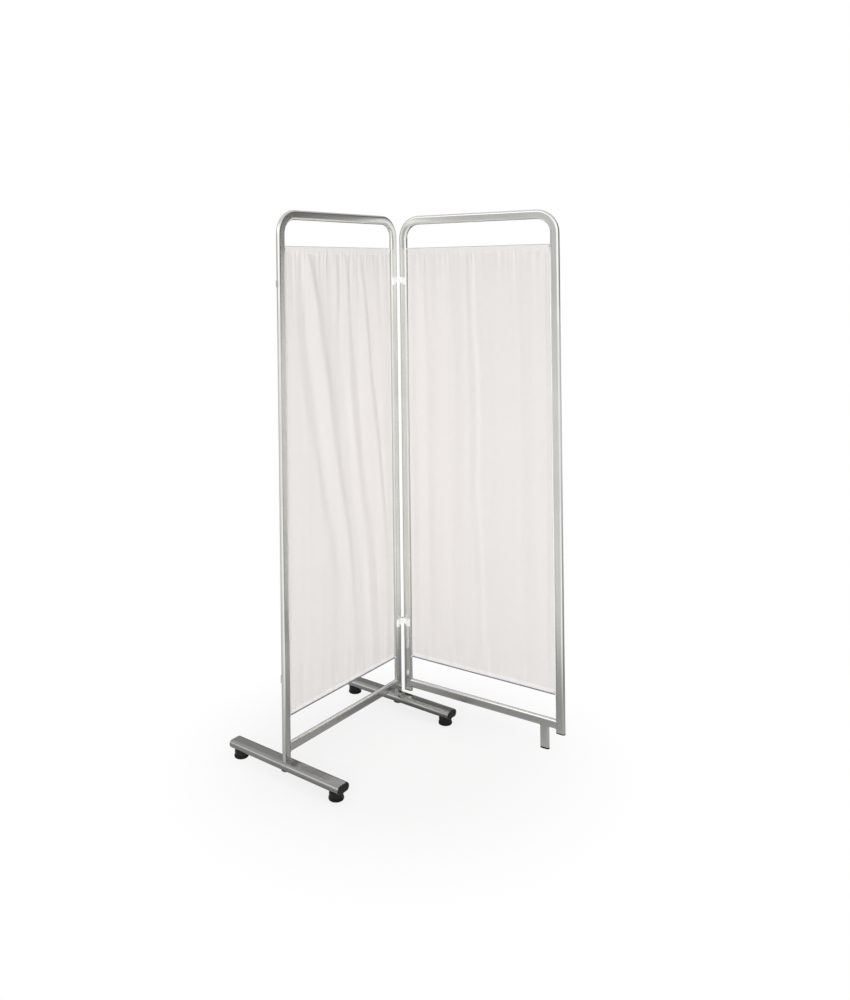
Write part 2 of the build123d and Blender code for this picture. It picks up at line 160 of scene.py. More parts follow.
# %% [markdown]
# ## Helpers for node trees
# Materials, the studio and the repeated pieces are all node trees. These helpers write a
# tree down as calculations: an input takes either a value or another node's output, and
# what each helper gives back can go straight into the next one.

# %% Node helpers
no_vector = (0.0, 0.0, 0.0)


def feed(tree, node, inputs):
    """Each input given its value, or joined to one output or a list of outputs."""
    for socket, given in inputs.items():
        if isinstance(given, (bpy.types.NodeSocket, list)):
            for source in given if isinstance(given, list) else [given]:
                tree.links.new(source, node.inputs[socket])
        else:
            node.inputs[socket].default_value = given
    return node


def new_node(tree, kind, inputs=None, **settings):
    """A node with its settings and inputs."""
    node = tree.nodes.new(kind)
    for key, value in settings.items():
        setattr(node, key, value)
    return feed(tree, node, inputs or {})


def add(tree, kind, inputs=None, output=0, **settings):
    """One output of a new node."""
    return new_node(tree, kind, inputs, **settings).outputs[output]


def calculated(tree, operation, *values):
    """The result of a sum, a product or the like."""
    return add(tree, "ShaderNodeMath", dict(enumerate(values)), operation=operation)


def mix(tree, factor, first, second):
    """A number between two."""
    inputs = {"Factor": factor, "A": first, "B": second}
    return add(tree, "ShaderNodeMix", inputs, data_type="FLOAT")


def spread(tree, value, low, high, start=0.0, full=1.0, kind="LINEAR"):
    """A value that goes from start to full, spread from low to high."""
    inputs = {"Value": value, "From Min": start, "From Max": full, "To Min": low, "To Max": high}
    return add(tree, "ShaderNodeMapRange", inputs, interpolation_type=kind)


def ramp(tree, source, stops):
    """A ramp of greys on a value, from its stops: (position, grey)."""
    node = new_node(tree, "ShaderNodeValToRGB", {0: source})
    elements = node.color_ramp.elements
    while len(elements) > 1:
        elements.remove(elements[-1])
    for index, (position, grey) in enumerate(stops):
        element = elements[0] if index == 0 else elements.new(position)
        element.position = position
        element.color = (grey, grey, grey, 1)
    return node.outputs[0]


def new_group(name, inputs, outputs):
    """An empty shader group: its inputs with their values, and the names of its outputs."""
    group = bpy.data.node_groups.new(name, "ShaderNodeTree")
    for title, value in inputs.items():
        kind = "NodeSocketFloat" if isinstance(value, float) else "NodeSocketVector"
        group.interface.new_socket(title, in_out="INPUT", socket_type=kind).default_value = value
    for title in outputs:
        group.interface.new_socket(title, in_out="OUTPUT", socket_type="NodeSocketFloat")
    return group, group.nodes.new("NodeGroupInput").outputs, group.nodes.new("NodeGroupOutput")


def effect(tree, group, inputs, output=0):
    """What a group gives for some inputs."""
    return add(tree, "ShaderNodeGroup", inputs, output, node_tree=group)


def cleared(owner):
    """The empty node tree of a world or a material."""
    owner.use_nodes = True
    owner.node_tree.nodes.clear()
    return owner.node_tree


# %% [markdown]
# ## The room
# A white sweep with soft light keeps attention on the object. The camera sees pure white
# around it. Satin steel is mostly what it mirrors, so its reflections see a plain studio:
# bright where the big lamp stands, to the left of the camera, and darker to the right of it
# and behind the object. That contrast is what draws the white and dark lines along a tube.
# One node group grades the studio by direction, and both the world and the floor use it.
# On the floor the grading is painted shade and light, which only reflections see.

# %% The studio's sides
studio_middle = 0.46
studio_darkest = 0.04
# Each side: its direction, the cosines at which it starts and is full, its level, and
# whether that level is added or taken away. Only the floor has a front side: painted light on the floor, seen
# in reflections.
studio_sides = {
    "Bright": ((-0.74, -0.50, 0.45), 0.50, 0.72, 0.80, "ADD"),
    "Low lamp": ((-0.71, 0.46, 0.53), 0.91, 0.985, 1.1, "ADD"),
    "Dark": ((0.70, -0.71, 0), 0.25, 0.78, 0.33, "SUBTRACT"),
    "Behind": ((0.93, 0.37, 0), 0.80, 0.97, 0.30, "SUBTRACT"),
    "Front": ((-0.62, -0.78, 0), 0.84, 0.96, 0.0, "ADD"),
}


def build_studio_group():
    """How bright the studio is in a direction from the object."""
    levels = {title: side[3] for title, side in studio_sides.items()}
    inputs = {"Direction": no_vector, "Middle": studio_middle, **levels}
    group, given, result = new_group("studio_sides", inputs, ["Level"])
    unit = add(group, "ShaderNodeVectorMath", {0: given["Direction"]}, operation="NORMALIZE")
    level = given["Middle"]
    for title, (direction, start, full, _, operation) in studio_sides.items():
        pair = {0: unit, 1: Vector(direction).normalized()}
        towards = add(group, "ShaderNodeVectorMath", pair, "Value", operation="DOT_PRODUCT")
        share = spread(group, towards, 0.0, 1.0, start, full, "SMOOTHSTEP")
        level = calculated(group, operation, level, calculated(group, "MULTIPLY", share, given[title]))
    feed(group, result, {"Level": calculated(group, "MAXIMUM", level, studio_darkest)})
    return group


studio_group = build_studio_group()

# %% World
even_light = 0.42
overhead_light = 0.75
overhead_start = 0.35
overhead_full = 0.85


def studio_world(tree):
    """White to the camera, an even light on the object, and the studio in reflections."""
    direction = add(tree, "ShaderNodeTexCoord", output="Generated")
    height = add(tree, "ShaderNodeSeparateXYZ", {0: direction}, "Z")
    overhead = spread(tree, height, 0.0, 1.0, overhead_start, overhead_full, "SMOOTHSTEP")
    sides = effect(tree, studio_group, {"Direction": direction})
    rays = new_node(tree, "ShaderNodeLightPath").outputs
    lit = mix(tree, rays["Is Glossy Ray"], even_light, mix(tree, overhead, sides, overhead_light))
    straight = calculated(tree, "MAXIMUM", rays["Is Camera Ray"], rays["Is Transmission Ray"])
    background = add(tree, "ShaderNodeBackground", {"Color": mix(tree, straight, lit, 1.0)})
    new_node(tree, "ShaderNodeOutputWorld", {"Surface": background})


bpy.context.scene.view_settings.view_transform = "Standard"
bpy.context.scene.world = bpy.data.worlds.new("studio")
studio_world(cleared(bpy.context.scene.world))

# %% Lamps


def lamp(name, place_at, aim, size, power):
    """A large soft lamp looking at a point, which metal doesn't mirror: that is the studio's part."""
    data = bpy.data.lights.new(name, "AREA")
    data.shape = "RECTANGLE"
    data.size, data.size_y = size
    data.energy = power
    piece = in_scene(name, data)
    piece.location = place_at
    piece.rotation_euler = (Vector(aim) - Vector(place_at)).to_track_quat("-Z", "Y").to_euler()
    piece.visible_glossy = False
    return piece


lamp("key_lamp", (-3.5, -1.2, 1.1), (0, 0, 0.8), (2.0, 2.0), 66)
lamp("fill_lamp", (-0.5, -3.5, 1.2), (0, 0, 0.8), (2.2, 2.2), 42)
lamp("top_lamp", (0.2, 0.4, 4.2), (0, 0, 0.6), (2.5, 2.5), 5)

# %% Floor
floor_reach = 30
floor_paint = 0.93
fade_start = 0.22
fade_end = 0.8
nearest_glow = 0.77
graded_reach = 6
# Painted shade and light on the floor, seen only in reflections: how bright it is at distances from the
# object in metres, darker near the object where shade falls, with painted lighter and darker sides
floor_painted_shading = {
    "Middle": [(0.0, 0.33), (0.3, 0.38), (0.5, 0.50), (1.8, 0.60), (5.0, 0.68)],
    "Bright": [(0.3, 0.0), (0.8, 0.18), (6.0, 0.26)],
    "Dark": [(0.0, 0.04), (0.6, 0.06), (0.95, 0.28), (2.2, 0.27), (5.0, 0.06)],
    "Behind": [(0.0, 0.06), (0.6, 0.25), (2.2, 0.36), (5.0, 0.42)],
    "Front": [(0.3, 0.0), (0.7, 0.35), (1.9, 0.35), (3.7, 0.12), (6.0, 0.0)],
}


def white_floor(tree):
    """Matt white that fades to the white of the background away from the object; in reflections it shows
    painted shade near the object and painted lighter and darker sides.
    """
    here = add(tree, "ShaderNodeTexCoord", output="Object")
    distance = add(tree, "ShaderNodeVectorMath", {0: here}, "Value", operation="LENGTH")
    reach = calculated(tree, "DIVIDE", distance, float(graded_reach))
    levels = {
        title: ramp(tree, reach, [(metres / graded_reach, level) for metres, level in stops])
        for title, stops in floor_painted_shading.items()
    }
    sides = effect(tree, studio_group, {"Direction": here, **levels})
    rays = new_node(tree, "ShaderNodeLightPath").outputs
    # Only reflections see the painted shading; to the camera and as a light the floor stays plain white
    level = mix(tree, rays["Is Glossy Ray"], 1.0, sides)
    matt = add(tree, "ShaderNodeBsdfDiffuse", {"Color": calculated(tree, "MULTIPLY", level, floor_paint)})
    glow = add(tree, "ShaderNodeEmission", {"Strength": level})
    clear = calculated(tree, "MAXIMUM", rays["Is Camera Ray"], rays["Is Transmission Ray"])
    seen = calculated(tree, "MAXIMUM", clear, rays["Is Glossy Ray"])
    far = spread(tree, distance, nearest_glow, 1.0, fade_start, fade_end, "SMOOTHSTEP")
    shown = calculated(tree, "MULTIPLY", seen, far)
    both = add(tree, "ShaderNodeMixShader", {0: shown, 1: matt, 2: glow})
    new_node(tree, "ShaderNodeOutputMaterial", {"Surface": both})


floor_corners = [(x * floor_reach, y * floor_reach, 0) for x, y in ((-1, -1), (1, -1), (1, 1), (-1, 1))]
floor_mesh = new_mesh("floor", floor_corners, faces=[(0, 1, 2, 3)])
floor = in_scene("floor", floor_mesh)
floor_finish = bpy.data.materials.new("floor_finish")
white_floor(cleared(floor_finish))
floor_mesh.materials.append(floor_finish)

# The lamp behind lights the backs of the panels, and leaves the floor alone
back_lamp = lamp("back_lamp", (2.8, 2.9, 1.3), (0, 0, 0.8), (2.2, 2.2), 46)
unlit = bpy.data.collections.new("unlit_by_back_lamp")
unlit.objects.link(floor)
unlit.collection_objects[0].light_linking.link_state = "EXCLUDE"
back_lamp.light_linking.receiver_collection = unlit

# %% [markdown]
# ## The curtains
# Each curtain is one length of cotton. Its top is turned over to make a casing, which is
# gathered on the upper wire, and its bottom has a narrow hem that hangs just over the
# lower wire. A cloth simulation could hang it, but the folds here are known: on the footed
# panel they slant down towards the hinge, where the cloth is pulled, and on the wing they
# drop straight. So the cloth is drawn as a grid. Its folds are written as lines, a crest or
# a hollow each, and the cloth runs from line to line. The small gathers under the casing
# are seeded noise.

# %% Curtain sizes
wire_height = 1587.5 * millimetre
casing_radius = 2.9 * millimetre
casing_gap = 0.75 * millimetre
casing_bottom = 1567.5 * millimetre
casing_turn = 1.5 * millimetre
casing_tuck = 0.7 * millimetre
casing_roundness = 0.8
hem_top = 193.5 * millimetre
hem_bottom = 180.4 * millimetre
hem_gap = 0.55 * millimetre
hem_turn = 1 * millimetre
curtain_start = 18.4 * millimetre
curtain_end = 543.6 * millimetre
side_hem = 11 * millimetre
cloth_thickness = 0.45 * millimetre
columns = 250
rows_between = 118
row_crowding = 0.75
crest_softness = 4.2 * millimetre
crest_columns = 8
smoothing_passes = 6
fold_depth = {"footed": 1.5, "wing": 1.6}
random_seed = 11

# %% Lines of the folds
# From the hinge outwards, each line of a crest or a hollow has points from the top down:
# height, place along the panel, and how far it stands out, all in millimetres
footed_lines = [
    [(1580, 34, 0.3), (1300, 30, 0.3), (200, 28, 0.2)],
    [(1580, 66, 1.2), (1420, 52, 1.0), (1250, 45, 0.4), (200, 34, 0.3)],
    [(1580, 86, -0.9), (1420, 74, -0.8), (1250, 58, 0.2), (200, 36, 0.3)],
    [(1580, 114, 1.3), (1420, 100, 1.0), (1250, 80, 0.0), (200, 37, 0.3)],
    [(1580, 170, -1.0), (1400, 148, -1.8), (1300, 136, -2.2), (1200, 128, -2.4), (1100, 110, -2.4),
     (1000, 95, -2.4), (900, 80, -2.2), (830, 69, -2.0), (675, 49, -1.8), (600, 43, -1.5), (300, 39, -0.6)],
    [(1580, 190, 1.6), (1500, 181, 2.2), (1445, 169, 2.6), (1400, 163, 2.8), (1300, 150, 3.2),
     (1155, 138, 3.6), (1000, 112, 3.8), (900, 100, 3.6), (775, 87, 3.4), (675, 73, 3.0), (575, 62, 2.4),
     (400, 58, 1.6), (250, 56, 0.9)],
    [(1580, 206, -0.6), (1500, 196, -0.2), (1430, 188, 0.8), (1300, 180, 1.2), (1000, 148, 1.0),
     (600, 90, 1.0), (250, 74, 0.4)],
    [(1580, 224, 1.2), (1500, 213, 1.1), (1430, 205, 0.6), (1300, 196, -0.6), (1000, 168, -0.8),
     (600, 108, -0.4), (250, 90, 0.0)],
    [(1580, 243, -1.4), (1400, 235, -1.8), (1300, 225, -2.2), (1200, 210, -2.6), (1100, 196, -2.8),
     (1000, 185, -3.0), (900, 175, -3.0), (830, 164, -2.8), (675, 140, -2.6), (575, 119, -2.2),
     (500, 111, -1.6), (300, 101, -0.8)],
    [(1580, 259, 1.8), (1400, 250, 1.8), (1300, 246, 1.4), (1155, 243, 1.8), (1080, 238, 2.2),
     (1000, 229, 2.8), (950, 221, 3.0), (900, 212, 2.6), (830, 200, 2.6), (730, 186, 2.4), (625, 168, 2.2),
     (575, 165, 2.2), (500, 160, 2.2), (400, 151, 1.8), (300, 141, 1.4)],
    [(1580, 288, -1.4), (1450, 284, -1.6), (1300, 292, -1.8), (1200, 286, -1.9), (1155, 270, -1.8),
     (1080, 262, -2.0), (1000, 255, -2.0), (950, 248, -2.2), (900, 244, -2.4), (830, 237, -2.6),
     (730, 226, -2.6), (625, 208, -2.2), (500, 190, -1.6), (400, 175, -1.2), (300, 162, -0.8)],
    [(1580, 312, 1.6), (1430, 303, 1.2), (1300, 306, -1.6), (1155, 290, -1.9), (900, 262, -2.5),
     (600, 214, -1.8), (300, 174, -0.7)],
    [(1580, 334, -0.8), (1430, 322, -0.8), (1300, 330, -1.7), (1155, 304, -2.1), (1000, 290, -2.3),
     (900, 279, -2.5), (730, 243, -2.6), (600, 225, -2.0), (300, 186, -0.8)],
    [(1580, 417, -1.4), (1500, 402, -1.6), (1445, 390, -1.6), (1400, 368, -1.4), (1300, 357, -1.4),
     (1200, 336, -1.8), (1100, 312, -2.2), (1000, 300, -2.4), (900, 288, -2.4), (730, 252, -2.4),
     (600, 235, -1.6), (300, 205, -0.6)],
    [(1580, 440, 3.2), (1500, 426, 3.6), (1400, 404, 4.0), (1300, 390, 4.2), (1200, 365, 4.4),
     (1100, 351, 4.4), (1000, 335, 4.2), (900, 316, 4.0), (830, 304, 3.8), (775, 289, 3.6), (675, 268, 3.0),
     (575, 254, 2.0), (500, 246, 1.4), (400, 238, 1.0), (300, 234, 0.8)],
    [(1580, 471, -1.2), (1500, 468, -1.8), (1400, 456, -2.4), (1300, 451, -2.8), (1200, 432, -3.0),
     (1100, 413, -3.0), (1000, 400, -3.0), (900, 386, -3.0), (830, 367, -2.8), (730, 343, -2.6),
     (625, 313, -2.2), (500, 295, -1.4), (400, 298, -1.1), (300, 312, -1.2)],
    [(1580, 500, 0.4), (1450, 500, 0.6), (1300, 492, 1.2), (1155, 479, 1.8), (1080, 458, 2.0),
     (1000, 438, 2.0), (900, 406, 1.6), (775, 391, 1.6), (675, 364, 1.4), (575, 345, 1.0), (480, 350, 0.5),
     (400, 385, 0.6), (300, 400, 0.9)],
    [(1580, 512, -0.6), (1450, 508, -0.6), (1300, 500, 0.9), (1000, 466, 1.6), (700, 440, 0.9),
     (420, 470, 0.3), (300, 490, -0.8)],
    [(1580, 526, 0.8), (1450, 523, 0.7), (1000, 520, 0.9), (420, 522, 0.6), (300, 518, 1.0), (200, 514, 0.6)],
]
wing_lines = [
    [(1580, 46, 1.0), (1200, 48, 1.2), (600, 50, 1.1), (250, 52, 0.5)],
    [(1580, 76, -0.9), (1400, 80, -0.8), (1250, 86, -0.8), (500, 92, -0.8), (250, 94, -0.3)],
    [(1580, 88, 0.8), (1400, 92, 0.4), (1250, 112, 0.8), (500, 118, 0.8), (250, 118, 0.3)],
    [(1580, 104, -0.9), (1400, 108, -0.2), (1250, 120, 0.8), (500, 126, 0.7), (250, 126, 0.3)],
    [(1580, 136, 1.2), (1400, 132, 1.1), (1250, 130, 0.9), (500, 134, 0.6), (250, 134, 0.3)],
    [(1580, 164, -1.1), (1400, 168, -1.0), (1000, 172, -1.0), (500, 176, -0.6), (250, 178, -0.3)],
    [(1580, 226, 0.2), (1200, 230, 0.2), (900, 226, 0.4), (250, 230, 0.1)],
    [(1580, 248, -0.6), (1440, 248, -0.7), (1200, 250, -0.6), (900, 252, -0.4), (600, 262, -0.4),
     (250, 270, -0.2)],
    [(1580, 262, 1.5), (1300, 266, 1.4), (1200, 278, 1.4), (900, 280, 1.2), (800, 270, 1.2), (700, 282, 1.1),
     (550, 287, 0.8), (250, 290, 0.7)],
    [(1580, 280, -0.9), (1300, 282, -0.8), (1200, 293, -0.7), (900, 294, -0.6), (800, 286, -0.6),
     (700, 295, -0.6), (550, 299, -0.4), (250, 304, -0.4)],
    [(1580, 352, 0.7), (1200, 350, 0.6), (700, 352, 0.6), (250, 356, 0.2)],
    [(1580, 430, -0.4), (1380, 438, -0.7), (1180, 440, -0.7), (900, 440, -0.5), (250, 440, -0.2)],
    [(1580, 448, 0.3), (1380, 452, 0.4), (1180, 454, 0.4), (900, 470, 0.9), (500, 478, 0.8), (250, 492, 0.5)],
    [(1580, 486, 0.9), (1380, 484, 0.9), (1180, 480, 1.0), (900, 482, 1.0), (500, 492, 0.7), (400, 500, 0.5),
     (250, 506, 0.4)],
    [(1580, 528, -0.8), (900, 534, -0.9), (500, 532, -0.8), (400, 514, -0.7), (200, 532, -0.6)],
]

# %% The cloth's path from casing to hem


def cloth_path():
    """Rows of the cloth from the turned-over end of the casing to that of the hem: out, height."""
    casing_height = wire_height - casing_bottom
    hem_height = hem_top - hem_bottom
    rows = [(-casing_tuck, casing_bottom - casing_turn), (-casing_gap, casing_bottom)]
    for share in (0.25, 0.5, 0.75):
        out = -casing_gap - share * (casing_radius - casing_gap)
        rows.append((out, casing_bottom + share * casing_height))
    for step in range(9):
        angle = math.pi * step / 8
        rows.append((-casing_radius * math.cos(angle), wire_height + casing_radius * math.sin(angle)))
    for share in (0.84, 0.68, 0.52, 0.38, 0.26, 0.16, 0.08, 0.0):
        rows.append((share ** casing_roundness * casing_radius, casing_bottom + share * casing_height))
    for step in range(1, rows_between + 1):
        share = step / rows_between
        graded = share - row_crowding * math.sin(2 * math.pi * share) / (2 * math.pi)
        rows.append((0.0, casing_bottom - (casing_bottom - hem_top) * graded))
    for step in range(1, 5):
        rows.append((0.0, hem_top - step / 4 * hem_height))
    for step in range(1, 4):
        angle = math.pi * step / 4
        rows.append((-hem_gap * (1 - math.cos(angle)), hem_bottom - hem_gap * math.sin(angle)))
    for step in range(0, 5):
        rows.append((-2 * hem_gap, hem_bottom + step / 4 * (hem_height + hem_turn)))
    return np.array(rows)


def lengths_along(points):
    """How far along a line each of its points is."""
    return np.concatenate([[0], np.cumsum(np.linalg.norm(np.diff(points, axis=0), axis=1))])


path = cloth_path()
print("rows of cloth", len(path), "cut length", round(float(lengths_along(path)[-1]), 4))

# %% Folds and gathers
casing_fade = 34 * millimetre
hem_fade = 45 * millimetre
hem_share = 0.25
gather_spacings = (7 * millimetre, 12 * millimetre)
coarse_gathers = 0.6
gather_drop = 55 * millimetre
gather_in_casing = 0.8
gather_below = 1.15
hem_gather_spacing = 16 * millimetre
hem_gather_rise = 65 * millimetre
hem_gather = 1.1
wander_size = 9 * millimetre
wander_rate = 5.1
ripples = ((34 * millimetre, 0.55), (19 * millimetre, 0.22))


def fold_depths(lines, deepened, along_line, heights):
    """How far the cloth stands out, in metres, where it runs from fold line to fold line."""
    places = []
    depths = []
    for line in lines:
        points = np.array(line)[::-1] * millimetre
        places.append(np.interp(heights, points[:, 0], points[:, 1]))
        depths.append(np.interp(heights, points[:, 0], points[:, 2]))
    places = np.array(places).T
    depths = np.array(depths).T * deepened
    surface = np.empty((len(heights), len(along_line)))
    for row in range(len(heights)):
        edges = [curtain_start, *places[row], curtain_end]
        surface[row] = np.interp(along_line, edges, [0, *depths[row], 0])
    reach = np.arange(-crest_columns, crest_columns + 1) * (along_line[1] - along_line[0])
    soft = np.exp(-0.5 * (reach / crest_softness) ** 2)
    soft /= soft.sum()
    padded = np.pad(surface, ((0, 0), (crest_columns, crest_columns)), mode="edge")
    surface = sum(weight * padded[:, shift:shift + len(along_line)] for shift, weight in enumerate(soft))
    for _ in range(smoothing_passes):
        surface[1:-1] = (surface[:-2] + 2 * surface[1:-1] + surface[2:]) / 4
    return surface


def smooth_noise(generator, along, spacing):
    """Seeded noise along the panel, smooth over a spacing."""
    knots = int((curtain_end - curtain_start) / spacing) + 4
    values = generator.uniform(-1, 1, knots)
    position = (along - curtain_start) / spacing + 1
    base = np.clip(np.floor(position).astype(int), 0, knots - 2)
    part = np.clip(position - base, 0, 1)
    part = part * part * (3 - 2 * part)
    return values[base] * (1 - part) + values[base + 1] * part


def cloth_depth(lines, deepened, seed, along, height):
    """How far the cloth stands out of its flat path at each place of the grid."""
    generator = np.random.default_rng(seed)
    over = np.clip((casing_bottom - height) / casing_fade, 0, 1)
    under = np.clip((height - hem_top) / hem_fade, 0, 1)
    body = (over ** 0.7) * (hem_share + (1 - hem_share) * under)
    depth = fold_depths(lines, deepened, along[0], height[:, 0]) * body
    fine, coarse = (smooth_noise(generator, along, spacing) for spacing in gather_spacings)
    gathers = fine + coarse_gathers * coarse
    below = np.exp(-np.clip(casing_bottom - height, 0, None) / gather_drop)
    near_wire = np.clip((wire_height - height) / (wire_height - casing_bottom), 0, 1)
    in_casing = height > casing_bottom
    pucker = np.where(in_casing, near_wire * gather_in_casing, below * gather_below) * millimetre
    depth += gathers * pucker
    low = smooth_noise(generator, along, hem_gather_spacing)
    rise = np.exp(-np.clip(height - hem_top, 0, None) / hem_gather_rise)
    depth += low * rise * hem_gather * millimetre
    wander = wander_size * np.sin(height * wander_rate + seed)
    wandered = np.clip(along + wander, curtain_start, curtain_end)
    for spacing, size in ripples:
        depth += smooth_noise(generator, wandered, spacing) * size * millimetre * body
    return depth


# %% The cloth as a grid
# How much of a hem's lightness each doubled edge has
casing_share = 0.2
side_share = 0.6


def keep_result(piece, name):
    """The piece's mesh as its modifiers leave it, as a plain mesh of its own."""
    finished = bpy.data.meshes.new_from_object(piece.evaluated_get(bpy.context.evaluated_depsgraph_get()))
    piece.modifiers.clear()
    piece.data = finished
    finished.name = name


def make_cloth(name, panel, lines, deepened, seed):
    """One curtain as a grid with thickness, its UV in metres of cloth."""
    along, height = np.meshgrid(np.linspace(curtain_start, curtain_end, columns), path[:, 1])
    out = np.repeat(path[:, 0][:, None], columns, axis=1) + cloth_depth(lines, deepened, seed, along, height)
    root, side, front = (np.array(panel[key]) for key in ("root", "along", "out"))
    points = root + along[..., None] * side + out[..., None] * front
    points[..., 2] = height
    count = len(path)
    index = np.arange(count * columns).reshape(count, columns)
    faces = np.stack([index[:-1, :-1], index[1:, :-1], index[1:, 1:], index[:-1, 1:]], axis=-1).reshape(-1, 4)
    mesh = new_mesh(name, points.reshape(-1, 3).tolist(), faces=faces.tolist())
    across, down = np.meshgrid(lengths_along(points[count // 2]), lengths_along(path))
    grid = np.stack((across, down), axis=-1).reshape(-1, 2)
    corner = np.empty(len(mesh.loops), np.int32)
    mesh.loops.foreach_get("vertex_index", corner)
    uv = mesh.uv_layers.new(name="cloth")
    uv.data.foreach_set("uv", grid[corner].astype(np.float32).ravel())
    mesh.polygons.foreach_set("use_smooth", [True] * len(mesh.polygons))
    from_side = np.minimum(along - curtain_start, curtain_end - along)
    pressed = np.where(height > casing_bottom, casing_share, 0.0)
    pressed = np.where(from_side < side_hem, side_share, pressed)
    pressed = np.where(height < hem_top, 1.0, pressed)
    layers = mesh.attributes.new("layers", "FLOAT", "POINT")
    layers.data.foreach_set("value", pressed.astype(np.float32).ravel())
    piece = in_scene(name, mesh)
    thicken = piece.modifiers.new("thickness", "SOLIDIFY")
    thicken.thickness = cloth_thickness
    thicken.offset = 0
    thicken.use_even_offset = True
    keep_result(piece, name)
    widths = np.linalg.norm(np.diff(points, axis=1), axis=2).sum(axis=1)
    least, most = (round(float(value), 4) for value in (widths.min(), widths.max()))
    print(name, "width of cloth in the folds, from", least, "to", most)
    return piece, points


cloths = {}
for name, lines in (("footed", footed_lines), ("wing", wing_lines)):
    panel = panels[name]
    piece, points = make_cloth(f"{name}_cloth", panel, lines, fold_depth[name], random_seed + len(cloths))
    cloths[name] = (piece, points)
    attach(piece, panel["body"])
    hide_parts(f"{name}_curtain")

# %% [markdown]
# ## Shared effects
# A satin tube is rubbed along its length, so fine scratches run that way, and hands leave
# faint cloudy patches. Both effects are wanted on several metals, so each is a node group
# that is built once. The cloth's weave is a third group, which reads the cloth's own UV so
# that threads follow the folds.

# %% Rubbed grain and cloudy patches
usual_fineness = 900.0


def build_grain_group():
    """Fine scratches along a tube, as a value around one half."""
    inputs = {"Place": no_vector, "Fineness": usual_fineness}
    group, given, result = new_group("rubbed_grain", inputs, ["Scratches"])
    place_in = given["Place"]
    fine = {"Vector": place_in, "Scale": given["Fineness"], "Detail": 3.0, "Roughness": 0.65}
    third = calculated(group, "MULTIPLY", given["Fineness"], 0.33)
    coarse = {"Vector": place_in, "Scale": third, "Detail": 2.0, "Roughness": 0.5}
    scratches = [add(group, "ShaderNodeTexNoise", noise) for noise in (fine, coarse)]
    feed(group, result, {"Scratches": mix(group, 0.4, *scratches)})
    return group


def build_patch_group():
    """Soft cloudy patches: where hands and cloths have passed."""
    inputs = {"Place": no_vector, "Scale": 7.0}
    group, given, result = new_group("handled_patches", inputs, ["Patches"])
    noise = {"Detail": 4.0, "Roughness": 0.55, "Distortion": 0.4}
    cloud = add(group, "ShaderNodeTexNoise", {"Vector": given["Place"], "Scale": given["Scale"], **noise})
    feed(group, result, {"Patches": spread(group, cloud, 0.0, 1.0, 0.3, 0.7)})
    return group


grain_group = build_grain_group()
patch_group = build_patch_group()

# %% Material helpers


def new_material(name):
    """A material's tree, its shader joined to the output, and the place on the object."""
    material = bpy.data.materials.new(name)
    tree = cleared(material)
    shader = new_node(tree, "ShaderNodeBsdfPrincipled")
    new_node(tree, "ShaderNodeOutputMaterial", {"Surface": shader.outputs[0]})
    return material, tree, shader, add(tree, "ShaderNodeTexCoord", output="Object")


def tint(tree, source, first, second):
    """A colour between two, by a value."""
    inputs = {"Factor": source, "A": (*first, 1), "B": (*second, 1)}
    return add(tree, "ShaderNodeMix", inputs, "Result", data_type="RGBA")


def shaded(tree, first, second):
    """One colour times another."""
    inputs = {"Factor": 1.0, "A": first, "B": second}
    return add(tree, "ShaderNodeMix", inputs, "Result", data_type="RGBA", blend_type="MULTIPLY")


def relief(tree, source, strength, distance):
    """A bump from a height."""
    inputs = {"Height": source, "Strength": strength, "Distance": distance}
    return add(tree, "ShaderNodeBump", inputs)


# %% [markdown]
# ## Steel
# The tubes are satin steel: bright, with a soft mirror that smears along the rubbing. On a
# hoop the rubbing turns with the tube, from upright to level, so its material holds the
# grain twice and changes over at the height of the bends.

# %% Satin steel
along_x = (0.03, 1, 1)
along_y = (1, 0.03, 1)
along_z = (1, 1, 0.03)
all_ways = (1, 1, 1)
bend_low = 1.625
bend_high = 1.665


def steel(name, bright, dull, roughness, stretch=all_ways, top_stretch=None, fineness=usual_fineness):
    """Rubbed steel, its grain stretched along one direction, or another one above the bends."""
    material, tree, shader, here = new_material(name)

    def scratches(direction):
        """The grain along a direction."""
        stretched = add(tree, "ShaderNodeMapping", {"Vector": here, "Scale": direction})
        return effect(tree, grain_group, {"Place": stretched, "Fineness": fineness})

    grain = scratches(stretch)
    if top_stretch:
        height = add(tree, "ShaderNodeSeparateXYZ", {0: here}, "Z")
        above = spread(tree, height, 0.0, 1.0, bend_low, bend_high)
        grain = mix(tree, above, grain, scratches(top_stretch))
    patches = effect(tree, patch_group, {"Place": here})
    uneven = mix(tree, 0.35, grain, patches)
    feed(tree, shader, {
        "Base Color": tint(tree, patches, dull, bright),
        "Roughness": spread(tree, uneven, roughness * 0.9, roughness * 1.1),
        "Normal": relief(tree, grain, 0.02, 0.0002),
        "Metallic": 1.0,
    })
    return material


